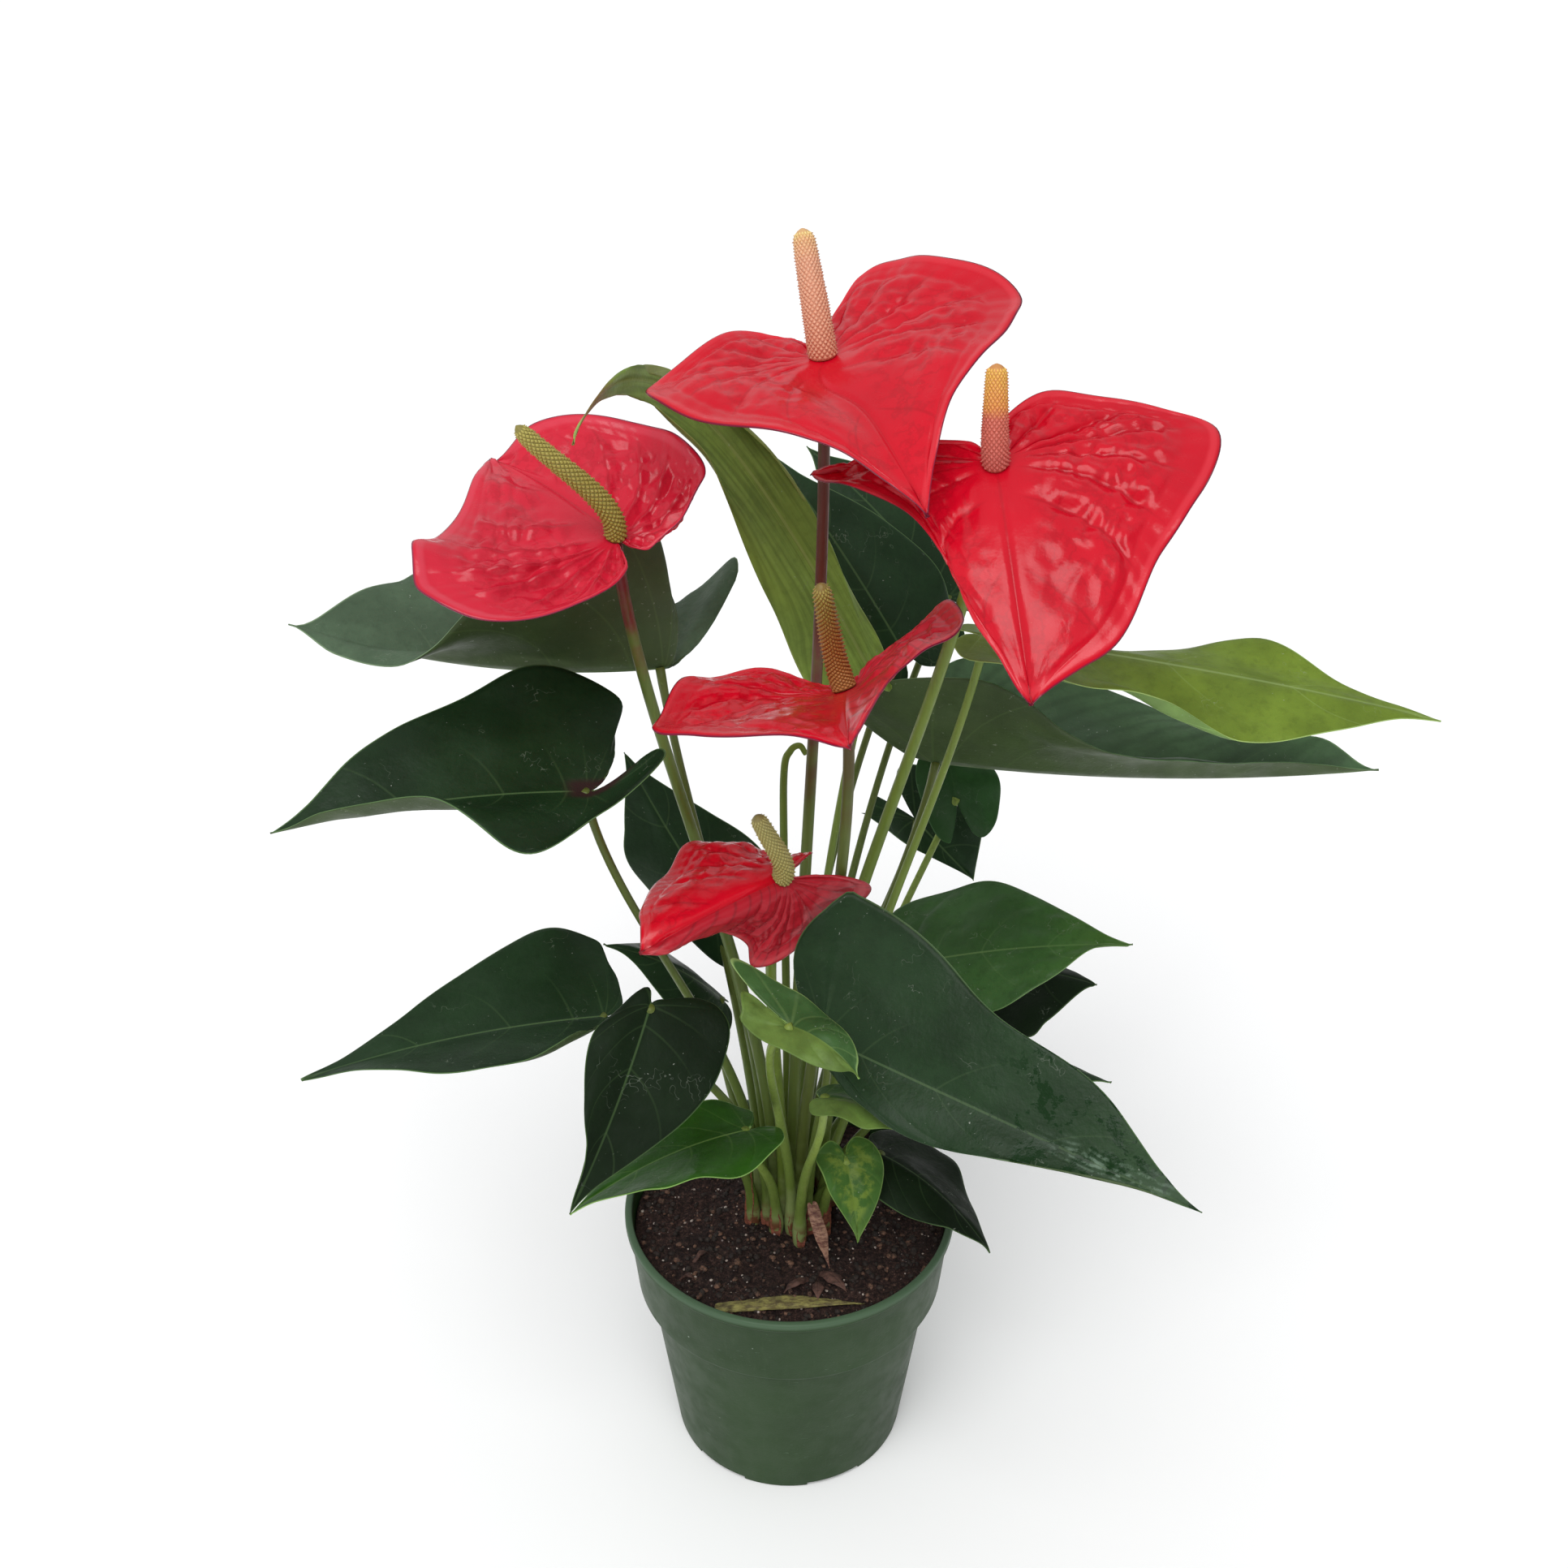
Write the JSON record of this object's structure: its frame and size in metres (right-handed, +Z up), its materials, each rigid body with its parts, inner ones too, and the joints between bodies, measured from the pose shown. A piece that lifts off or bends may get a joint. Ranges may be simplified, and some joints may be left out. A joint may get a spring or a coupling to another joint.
{
  "type": "potted plant",
  "caption": "Flowering anthurium with glossy red heart-shaped spathes and dark heart-shaped leaves, standing in a green plastic nursery pot.",
  "frame": {"origin": "centre of the pot's base, on the surface that it stands on", "axes": "+Z up along the pot's axis, -Y towards the side that the picture shows, +X to the right seen from there"},
  "size_m": [0.3542, 0.2435, 0.4534],
  "materials": {
    "pot": "satin moulded plastic",
    "soil": "moist peat with perlite",
    "spathe": "waxy glossy red",
    "spathe_pink": "waxy pinkish red",
    "spadix": "beaded, salmon to yellow",
    "spadix_green": "beaded, yellow-green",
    "stem": "satin",
    "stem_brown": "satin",
    "leaf_dark": "satin leaf",
    "leaf_mid": "satin leaf",
    "leaf_bright": "satin leaf",
    "leaf_lime": "satin leaf",
    "leaf_olive": "satin leaf",
    "dry": "dry and fibrous"
  },
  "bodies": {
    "root": {"pot": "pot", "soil": "soil", "spathe_top": "spathe", "spadix_top": "spadix", "stalk_top": "stem_brown", "spathe_right": "spathe", "spadix_right": "spadix", "stalk_right": "stem", "spathe_left": "spathe_pink", "spadix_left": "spadix_green", "stalk_left": "stem_brown", "spathe_centre": "spathe", "spadix_centre": "spadix_green", "stalk_centre": "stem_brown", "spathe_low": "spathe", "spadix_low": "spadix_green", "stalk_low": "stem", "leaf_lime_right": "leaf_lime", "leaf_long_right": "leaf_dark", "leaf_upper_left": "leaf_dark", "leaf_middle_left": "leaf_dark", "leaf_lower_left": "leaf_dark", "leaf_front_hanging": "leaf_dark", "leaf_front_bright": "leaf_bright", "leaf_behind_left_low": "leaf_dark", "leaf_young_curled": "leaf_bright", "leaf_front_large": "leaf_dark", "leaf_green_right": "leaf_mid", "leaf_back_right_low": "leaf_dark", "leaf_hidden_right": "leaf_dark", "leaf_rim_right": "leaf_dark", "leaf_young_folded": "leaf_mid", "leaf_young_heart": "leaf_mid", "leaf_behind_left": "leaf_dark", "leaf_tall_olive": "leaf_olive", "leaf_behind_dark": "leaf_dark", "leaf_behind_green": "leaf_mid", "leaf_behind_right": "leaf_dark", "leaf_behind_grey": "leaf_dark", "bud_stem": "stem", "dry_sheath": "dry", "dead_leaf": "dry"}
  },
  "joints": []
}
